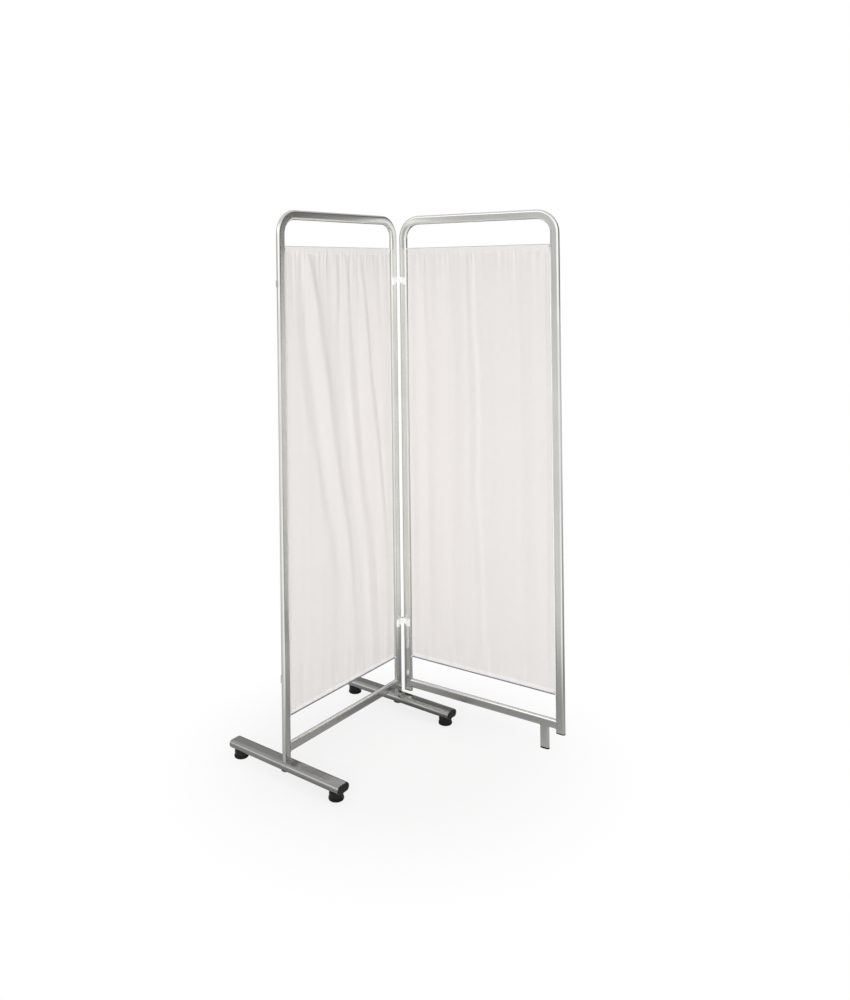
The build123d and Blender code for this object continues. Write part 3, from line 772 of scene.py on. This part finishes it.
tube_tones = ((0.84, 0.84, 0.81), (0.78, 0.78, 0.75))
footed_hoop_steel = steel("footed_hoop_steel", *tube_tones, 0.19, along_z, along_x)
wing_hoop_steel = steel("wing_hoop_steel", *tube_tones, 0.19, along_z, along_y)
footed_rail_steel = steel("footed_rail_steel", *tube_tones, 0.21, along_x)
wing_rail_steel = steel("wing_rail_steel", *tube_tones, 0.21, along_y)
foot_bar_steel = steel("foot_bar_steel", (0.42, 0.42, 0.41), (0.36, 0.36, 0.35), 0.20, along_y)
fastener_steel = steel("fastener_steel", (0.62, 0.62, 0.61), (0.55, 0.55, 0.54), 0.24, fineness=600.0)
screw_finish = steel("screw_finish", (0.86, 0.86, 0.85), (0.80, 0.80, 0.79), 0.36, fineness=600.0)
weld_steel = steel("weld_steel", (0.50, 0.49, 0.47), (0.38, 0.375, 0.36), 0.34, fineness=1500.0)

# %% [markdown]
# ## Plastics, rubber and the curtain wires
# Moulded parts have a fine even texture and go a little shiny where they are touched. The
# wires are sprung steel in a thin coating, through which the coils show as fine rings.

# %% Moulded and rubber finishes
touched_scale = 24.0
coil_scale = 160.0


def moulded(name, colour, worn, roughness, texture_scale, texture_depth, shine=0.5):
    """A moulded surface: fine texture, slightly shinier in patches."""
    material, tree, shader, here = new_material(name)
    patches = effect(tree, patch_group, {"Place": here, "Scale": touched_scale})
    pores = effect(tree, grain_group, {"Place": here, "Fineness": texture_scale})
    feed(tree, shader, {
        "Base Color": tint(tree, patches, colour, worn),
        "Roughness": spread(tree, patches, roughness * 1.12, roughness * 0.85),
        "Normal": relief(tree, pores, texture_depth, 0.0003),
        "Specular IOR Level": shine,
    })
    return material


black = (0.009, 0.010, 0.009)
rubber_black = (0.008, 0.008, 0.008)
black_plastic = moulded("black_plastic", black, (0.014, 0.015, 0.014), 0.26, 2500.0, 0.05, 0.3)
black_rubber = moulded("black_rubber", rubber_black, (0.014, 0.014, 0.013), 0.62, 1400.0, 0.2, 0.14)
white_plastic = moulded("white_plastic", (0.93, 0.93, 0.92), (0.88, 0.88, 0.87), 0.34, 3000.0, 0.04)
# Painted shade: the spare hinge caps are the hinges' white plastic, made grey for the shade they sit in at
# the back of the upright
grey_plastic = moulded("grey_plastic", (0.46, 0.47, 0.47), (0.40, 0.41, 0.41), 0.40, 3000.0, 0.05)


def coated_wire(name, along_direction):
    """Coating over a close coil: rings across the wire."""
    material, tree, shader, here = new_material(name)
    rings = {"Vector": here, "Scale": coil_scale, "Distortion": 0.0}
    coils = add(tree, "ShaderNodeTexWave", rings, "Fac", wave_type="BANDS", bands_direction=along_direction)
    feed(tree, shader, {
        "Base Color": tint(tree, coils, (0.15, 0.17, 0.21), (0.21, 0.24, 0.295)),
        "Roughness": spread(tree, coils, 0.5, 0.32),
        "Normal": relief(tree, coils, 0.5, 0.0003),
    })
    return material


footed_wire_finish = coated_wire("footed_wire_coating", "X")
wing_wire_finish = coated_wire("wing_wire_coating", "Y")

# %% [markdown]
# ## Cotton
# Curtain cotton is a plain weave of fine yarn, matt, a touch warm and a little uneven
# where yarns thicken. The weave runs in the UV of the cloth, which is in metres, so the
# yarns bend with every fold. Close up it is bump and tiny colour changes, and from afar
# only the unevenness is left.

# %% Weave group
yarns_per_metre = 1400.0


def build_weave_group():
    """Plain weave in UV metres: the yarns' height, and how uneven they are."""
    inputs = {"Cloth": no_vector, "Yarns per metre": yarns_per_metre}
    group, given, result = new_group("plain_weave", inputs, ["Height", "Unevenness"])
    cloth = given["Cloth"]
    wave = cloth
    for factor in (given["Yarns per metre"], math.pi):
        wave = add(group, "ShaderNodeVectorMath", {0: wave, "Scale": factor}, operation="SCALE")
    wave = add(group, "ShaderNodeVectorMath", {0: wave}, operation="SINE")
    apart = new_node(group, "ShaderNodeSeparateXYZ", {0: wave}).outputs
    crossing = calculated(group, "MULTIPLY", apart["X"], apart["Y"])
    slubs = []
    for stretch in ((160.0, 9.0, 1.0), (9.0, 160.0, 1.0)):
        stretched = add(group, "ShaderNodeMapping", {"Vector": cloth, "Scale": stretch})
        noise = {"Vector": stretched, "Scale": 3.0, "Detail": 3.0}
        slubs.append(add(group, "ShaderNodeTexNoise", noise))
    feed(group, result, {
        "Height": spread(group, crossing, 0.0, 1.0, -1.0, 1.0),
        "Unevenness": mix(group, 0.5, *slubs),
    })
    return group


weave_group = build_weave_group()

# %% Cotton and thread
ply_fineness = 2200.0
slub_shade = [(0.35, 0.965), (0.65, 1.0)]
hem_lightness = [(0.0, 0.9), (casing_share, 0.905), (side_share, 0.95), (1.0, 1.0)]


def cotton():
    """Warm white cotton with its weave, slubs and faint unevenness."""
    material, tree, shader, _ = new_material("cream_cotton")
    cloth_uv = add(tree, "ShaderNodeUVMap", uv_map="cloth")
    yarns, uneven = (effect(tree, weave_group, {"Cloth": cloth_uv}, output) for output in (0, 1))
    patches = effect(tree, patch_group, {"Place": cloth_uv, "Scale": 3.5})
    warm = tint(tree, patches, (0.873, 0.841, 0.819), (0.888, 0.855, 0.837))
    slub = shaded(tree, warm, ramp(tree, uneven, slub_shade))
    layers = add(tree, "ShaderNodeAttribute", output="Fac", attribute_name="layers")
    feed(tree, shader, {
        "Base Color": shaded(tree, slub, ramp(tree, layers, hem_lightness)),
        "Roughness": spread(tree, uneven, 0.82, 0.92),
        "Normal": relief(tree, yarns, 0.3, 0.0001),
        "Sheen Weight": 0.12,
        "Sheen Roughness": 0.5,
        "Specular IOR Level": 0.25,
    })
    return material


def thread():
    """Twisted sewing thread, a little brighter than the cloth."""
    material, tree, shader, here = new_material("sewing_thread")
    plies = effect(tree, grain_group, {"Place": here, "Fineness": ply_fineness})
    feed(tree, shader, {
        "Base Color": tint(tree, plies, (0.80, 0.775, 0.755), (0.86, 0.835, 0.815)),
        "Roughness": spread(tree, plies, 0.65, 0.85),
        "Normal": relief(tree, plies, 0.4, 0.0001),
    })
    return material


cream_cotton = cotton()
sewing_thread = thread()

# %% [markdown]
# ## What repeats
# Stitches run round each curtain's edges, weld ripples run round the ends of the rails, and
# the screws and bolts come in sets. Geometry Nodes make them: one tree lays a small shape
# along a path, another sets a fastener on points. Each result is turned into a plain mesh,
# one for each body, so that it moves like any other piece.

# %% Geometry Nodes helpers
socket_kinds = {float: "Float", int: "Int", tuple: "Vector", type(None): "Material"}


def new_tree(name, inputs):
    """An empty geometry tree: its inputs with their values, None for a material."""
    tree = bpy.data.node_groups.new(name, "GeometryNodeTree")
    tree.is_modifier = True
    tree.interface.new_socket("Geometry", in_out="INPUT", socket_type="NodeSocketGeometry")
    for title, value in inputs.items():
        kind = "NodeSocket" + socket_kinds[type(value)]
        socket = tree.interface.new_socket(title, in_out="INPUT", socket_type=kind)
        if value is not None:
            socket.default_value = value
    tree.interface.new_socket("Geometry", in_out="OUTPUT", socket_type="NodeSocketGeometry")
    return tree, tree.nodes.new("NodeGroupInput").outputs


def grow(name, base, tree, values):
    """The plain mesh that a tree makes on a base mesh, its inputs set first."""
    piece = in_scene(name, base)
    modifier = piece.modifiers.new("grow", "NODES")
    modifier.node_group = tree
    identifiers = {item.name: item.identifier for item in tree.interface.items_tree if item.in_out == "INPUT"}
    for title, value in values.items():
        modifier[identifiers[title]] = value
    keep_result(piece, name)
    print(name, len(piece.data.polygons), "faces")
    return piece


def chance(tree, low, high, seed):
    """A number between two, drawn for each point."""
    node = new_node(tree, "FunctionNodeRandomValue", {"Seed": seed}, data_type="FLOAT")
    in_use = [index for index, socket in enumerate(node.inputs) if socket.enabled]
    ends = [index for index in in_use if node.inputs[index].name in ("Min", "Max")]
    feed(tree, node, dict(zip(ends, (low, high))))
    return next(socket for socket in node.outputs if socket.enabled)


def set_on_points(tree, given, shape, smooth, more):
    """A shape set on points, made real, with the tree's material, and led to the tree's end."""
    copies = add(tree, "GeometryNodeInstanceOnPoints", {"Instance": shape, **more})
    real = add(tree, "GeometryNodeRealizeInstances", {0: copies})
    shade = add(tree, "GeometryNodeSetShadeSmooth", {"Geometry": real, "Shade Smooth": smooth})
    coloured = {"Geometry": shade, "Material": given["Material"]}
    finished = add(tree, "GeometryNodeSetMaterial", coloured)
    new_node(tree, "NodeGroupOutput", {"Geometry": finished})


# %% A row along a path


def build_row_tree():
    """Small rounded shapes laid end to end along a path, each a little different."""
    tree, given = new_tree("row_along_path", {
        "Spacing": 0.0034,
        "Size": (0.0026, 0.0005, 0.0005),
        "Variation": 0.1,
        "Seed": 1,
        "Material": None,
    })
    curve = add(tree, "GeometryNodeMeshToCurve", {"Mesh": given["Geometry"]})
    along = {"Curve": curve, "Length": given["Spacing"]}
    even = add(tree, "GeometryNodeResampleCurve", along, mode="LENGTH")
    bead = add(tree, "GeometryNodeMeshUVSphere", {"Segments": 6, "Rings": 4, "Radius": 0.5})
    tangent = add(tree, "GeometryNodeInputTangent")
    turn = add(tree, "FunctionNodeAlignRotationToVector", {"Vector": tangent}, axis="X")
    least, most = (calculated(tree, kind, 1.0, given["Variation"]) for kind in ("SUBTRACT", "ADD"))
    scale = {0: given["Size"], "Scale": chance(tree, least, most, given["Seed"])}
    size = add(tree, "ShaderNodeVectorMath", scale, operation="SCALE")
    set_on_points(tree, given, bead, True, {"Points": even, "Rotation": turn, "Scale": size})
    return tree


row_tree = build_row_tree()


def paths_mesh(name, paths):
    """A mesh of edges from lists of points; a path with its first point again is closed."""
    points = []
    edges = []
    for path_points in paths:
        first = len(points)
        closed = (Vector(path_points[0]) - Vector(path_points[-1])).length < 1e-6
        kept = path_points[:-1] if closed else path_points
        points += [tuple(point) for point in kept]
        edges += [(first + step, first + step + 1) for step in range(len(kept) - 1)]
        if closed:
            edges.append((first + len(kept) - 1, first))
    return new_mesh(name, points, edges)


# %% Stitches
stitch_spacing = 3.4 * millimetre
stitch_size = (2.7 * millimetre, 0.55 * millimetre, 0.5 * millimetre)
stitch_lift = 0.12 * millimetre
seam_inside_hem = 2 * millimetre


def stitch_paths(panel, points):
    """Rows of stitches on both faces: under the casing, over the hem and down both sides."""
    heights = path[:, 1]
    front_rows = np.flatnonzero(path[:, 0] > -0.2 * millimetre)
    lift = (cloth_thickness / 2 + stitch_lift) * np.array(panel["out"])
    column_places = np.linspace(curtain_start, curtain_end, columns)
    seams = []
    for target in (casing_bottom, hem_top):
        row = front_rows[np.argmin(np.abs(heights[front_rows] - target))]
        seams.append(points[row, 1:-1])
    drop = front_rows[(heights[front_rows] < casing_bottom) & (heights[front_rows] > hem_top)]
    inset = side_hem - seam_inside_hem
    for target in (curtain_start + inset, curtain_end - inset):
        column = int(np.argmin(np.abs(column_places - target)))
        seams.append(points[drop, column])
    return [seam + side for seam in seams for side in (lift, -lift)]


stitches = {}
for name, (piece, points) in cloths.items():
    base = paths_mesh(f"{name}_seams", stitch_paths(panels[name], points))
    stitches[name] = grow(f"{name}_stitches", base, row_tree, {
        "Spacing": stitch_spacing,
        "Size": stitch_size,
        "Variation": 0.08,
        "Seed": random_seed,
        "Material": sewing_thread,
    })
    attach(stitches[name], panels[name]["body"])

# %% Weld ripples
tube_half_wide = 15 * millimetre
tube_half_thick = 7.5 * millimetre
flat_half = tube_half_wide - tube_half_thick
leg_along = 508 * millimetre
bead_lift = 0.35 * millimetre
bead_size = (1.5 * millimetre, 2.3 * millimetre, 2.3 * millimetre)
bead_spacing = 1.05 * millimetre


def oval_outline(count=48):
    """Points round the tube's section: across the narrow way, and along the wide way."""
    grown = tube_half_thick + bead_lift
    outline = []
    for step in range(count + 1):
        angle = 2 * math.pi * step / count
        wide = grown * math.sin(angle)
        outward = math.sin(angle) if abs(math.sin(angle)) > 1e-9 else 1
        outline.append((grown * math.cos(angle), wide + math.copysign(flat_half, outward)))
    return outline


def cope(narrow):
    """How far the round side of a tube stands out at a place across it."""
    return flat_half + math.sqrt(max(0.0, tube_half_thick ** 2 - narrow ** 2))


def rail_welds(panel, rail_height):
    """The joint lines of a rail's two ends against the uprights."""
    return [
        [
            place(panel, start + direction * (cope(narrow) + bead_lift), narrow, rail_height + wide)
            for narrow, wide in oval_outline()
        ]
        for start, direction in ((0.0, 1), (upright_spacing, -1))
    ]


def leg_weld(panel, rail_height):
    """The joint line of the leg's top against the rail's underside."""
    return [
        place(panel, leg_along + wide, narrow, rail_height - cope(narrow) - bead_lift)
        for narrow, wide in oval_outline()
    ]


for name, panel in panels.items():
    rail_height = centre_of(f"{name}_rail").z
    lines = rail_welds(panel, rail_height)
    if name == "wing":
        lines.append(leg_weld(panel, rail_height))
    beads = grow(f"{name}_weld_beads", paths_mesh(f"{name}_joints", lines), row_tree, {
        "Spacing": bead_spacing,
        "Size": bead_size,
        "Variation": 0.12,
        "Seed": random_seed + 3,
        "Material": weld_steel,
    })
    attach(beads, panel["body"])

# %% Fasteners on points


def points_mesh(name, places, directions):
    """A mesh of loose points, each with the direction that its fastener faces."""
    mesh = new_mesh(name, [tuple(point) for point in places])
    facing = mesh.attributes.new("facing", "FLOAT_VECTOR", "POINT")
    facing.data.foreach_set("vector", [value for direction in directions for value in direction])
    return mesh


def fastener_tree(name, sizes, build_shape):
    """A tree that sets a fastener on every point, its z along the point's direction, turned by chance."""
    tree, given = new_tree(name, {**sizes, "Seed": 1, "Material": None})
    shape = build_shape(tree, given)
    named = new_node(tree, "GeometryNodeInputNamedAttribute", {"Name": "facing"}, data_type="FLOAT_VECTOR")
    direction = next(socket for socket in named.outputs if socket.enabled)
    turn = add(tree, "FunctionNodeAlignRotationToVector", {"Vector": direction}, axis="Z")
    angle = chance(tree, 0.0, 2 * math.pi, given["Seed"])
    spin = add(tree, "FunctionNodeAxisAngleToRotation", {"Axis": (0, 0, 1), "Angle": angle})
    turns = {"Rotation": turn, "Rotate By": spin}
    both = add(tree, "FunctionNodeRotateRotation", turns, rotation_space="LOCAL")
    set_on_points(tree, given, shape, False, {"Points": given["Geometry"], "Rotation": both})
    return tree


def moved(tree, source, height):
    """A shape lifted along z."""
    offset = add(tree, "ShaderNodeCombineXYZ", {"Z": height})
    return add(tree, "GeometryNodeTransform", {"Geometry": source, "Translation": offset})


def cylinder(tree, sides, radius, depth):
    """A cylinder, or a prism, about z."""
    inputs = {"Vertices": sides, "Radius": radius, "Depth": depth}
    return add(tree, "GeometryNodeMeshCylinder", inputs)


def cone(tree, sides, top, bottom, depth):
    """A cone with both its ends cut, standing on z."""
    inputs = {"Vertices": sides, "Radius Top": top, "Radius Bottom": bottom, "Depth": depth}
    return add(tree, "GeometryNodeMeshCone", inputs)


def joined(tree, *shapes):
    """Shapes joined into one."""
    return add(tree, "GeometryNodeJoinGeometry", {0: list(shapes)})


def screw_shape(tree, given):
    """Countersunk screw with a cross recess: head and shank, less two crossed slots."""
    wide, narrow = given["Head radius"], given["Shank radius"]
    drop = calculated(tree, "SUBTRACT", wide, narrow)
    down = calculated(tree, "MULTIPLY", drop, -1.0)
    slots = []
    for long, short in (("Recess", "Recess width"), ("Recess width", "Recess")):
        deep = calculated(tree, "MULTIPLY", given["Recess width"], 2.0)
        span = add(tree, "ShaderNodeCombineXYZ", {"X": given[long], "Y": given[short], "Z": deep})
        slots.append(add(tree, "GeometryNodeMeshCube", {"Size": span}))
    shapes = {"Mesh 1": moved(tree, cone(tree, 32, wide, narrow, drop), down), "Mesh 2": slots}
    head = add(tree, "GeometryNodeMeshBoolean", shapes, operation="DIFFERENCE")
    middle = calculated(tree, "MULTIPLY_ADD", given["Length"], -0.5, down)
    return joined(tree, head, moved(tree, cylinder(tree, 24, narrow, given["Length"]), middle))


# The cone that turns off a bolt head's corners: its top, bottom and depth, in corner radii
turning_cone = (0.86, 2.2, 0.7)


def bolt_shape(tree, given):
    """Hexagon bolt: a six-sided head whose corners a cone has turned off, on a shank."""
    corner, height, length = given["Corner radius"], given["Head height"], given["Length"]
    prism = moved(tree, cylinder(tree, 6, corner, height), calculated(tree, "MULTIPLY", height, 0.5))
    top, bottom, depth = (calculated(tree, "MULTIPLY", corner, share) for share in turning_cone)
    low = calculated(tree, "MULTIPLY_ADD", corner, -turning_cone[2], height)
    turned_off = moved(tree, cone(tree, 48, top, bottom, depth), low)
    shapes = {"Mesh 2": [prism, turned_off]}
    head = add(tree, "GeometryNodeMeshBoolean", shapes, operation="INTERSECT")
    shank = cylinder(tree, 32, given["Shank radius"], length)
    return joined(tree, head, moved(tree, shank, calculated(tree, "MULTIPLY", length, -0.5)))


# Measures of a screw and a bolt, in metres
screw_sizes = {
    "Head radius": 0.0033,
    "Shank radius": 0.00175,
    "Length": 0.012,
    "Recess": 0.004,
    "Recess width": 0.001,
}
bolt_sizes = {"Corner radius": 0.0075, "Head height": 0.008, "Shank radius": 0.004, "Length": 0.0456}
screw_tree = fastener_tree("cross_recess_screw", screw_sizes, screw_shape)
bolt_tree = fastener_tree("hexagon_bolt", bolt_sizes, bolt_shape)

# %% Hinge screws
screw_along = 2 * millimetre
leaf_face = 10 * millimetre
screw_step = 7.5 * millimetre
for name, panel in (("fixed", panels["footed"]), ("moving", panels["wing"])):
    places = []
    for hinge in ("upper", "lower"):
        middle = centre_of(f"{hinge}_hinge_{name}_leaf").z
        places += [place(panel, screw_along, leaf_face, middle + step) for step in (-screw_step, screw_step)]
    base = points_mesh(f"{name}_screw_places", places, [panel["out"]] * len(places))
    values = {"Seed": random_seed, "Material": screw_finish}
    screws = grow(f"{name}_cross_screws", base, screw_tree, values)
    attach(screws, panel["body"])
    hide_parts(f"{name}_leaf_screws")

# %% Foot bar bolts
head_height = 8 * millimetre
bolt_low, bolt_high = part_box("foot_bar_bolts")
places = [place(panels["footed"], along, 0, bolt_low.z + head_height) for along in (0, upright_spacing)]
base = points_mesh("bolt_places", places, [Vector((0, 0, -1))] * len(places))
bolts = grow("footed_hexagon_bolts", base, bolt_tree, {
    "Head height": head_height,
    "Length": bolt_high.z - bolt_low.z - head_height,
    "Seed": random_seed,
    "Material": fastener_steel,
})
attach(bolts, panels["footed"]["body"])
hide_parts("foot_bar_bolts")

# %% Finishes onto the CAD pieces
finishes = (
    (footed_hoop_steel, "footed_hoop"),
    (wing_hoop_steel, "wing_hoop wing_leg"),
    (footed_rail_steel, "footed_rail"),
    (wing_rail_steel, "wing_rail"),
    (foot_bar_steel, "hinge_foot_bar outer_foot_bar"),
    (black_plastic, "hinge_bar_plugs outer_bar_plugs wing_leg_tip wing_end_caps"),
    (black_plastic, "foot_1_stud foot_2_stud foot_3_stud foot_4_stud"),
    (black_rubber, "foot_1_pad foot_2_pad foot_3_pad foot_4_pad"),
    (fastener_steel, "upright_inserts foot_inserts foot_bar_bolts foot_bar_washers"),
    (fastener_steel, "upper_hinge_pin lower_hinge_pin fixed_leaf_screws moving_leaf_screws"),
    # The spare caps' grey is painted shade on white hinge plastic
    (grey_plastic, "spare_hinge_caps"),
    (white_plastic, "footed_wire_bushes wing_wire_bushes"),
    (white_plastic, "upper_hinge_fixed_leaf lower_hinge_fixed_leaf"),
    (white_plastic, "upper_hinge_moving_leaf lower_hinge_moving_leaf"),
    (footed_wire_finish, "footed_upper_wire footed_lower_wire"),
    (wing_wire_finish, "wing_upper_wire wing_lower_wire"),
    (cream_cotton, "footed_curtain wing_curtain"),
)


def give(piece, material):
    """One material on a whole piece."""
    if piece.data.materials:
        for slot in piece.material_slots:
            slot.material = material
    else:
        piece.data.materials.append(material)


finished = set()
for material, names in finishes:
    for name in names.split():
        give(nodes[name], material)
        finished.add(name)
for piece, _ in cloths.values():
    give(piece, cream_cotton)
print("CAD pieces without a finish:", sorted(set(nodes) - finished))
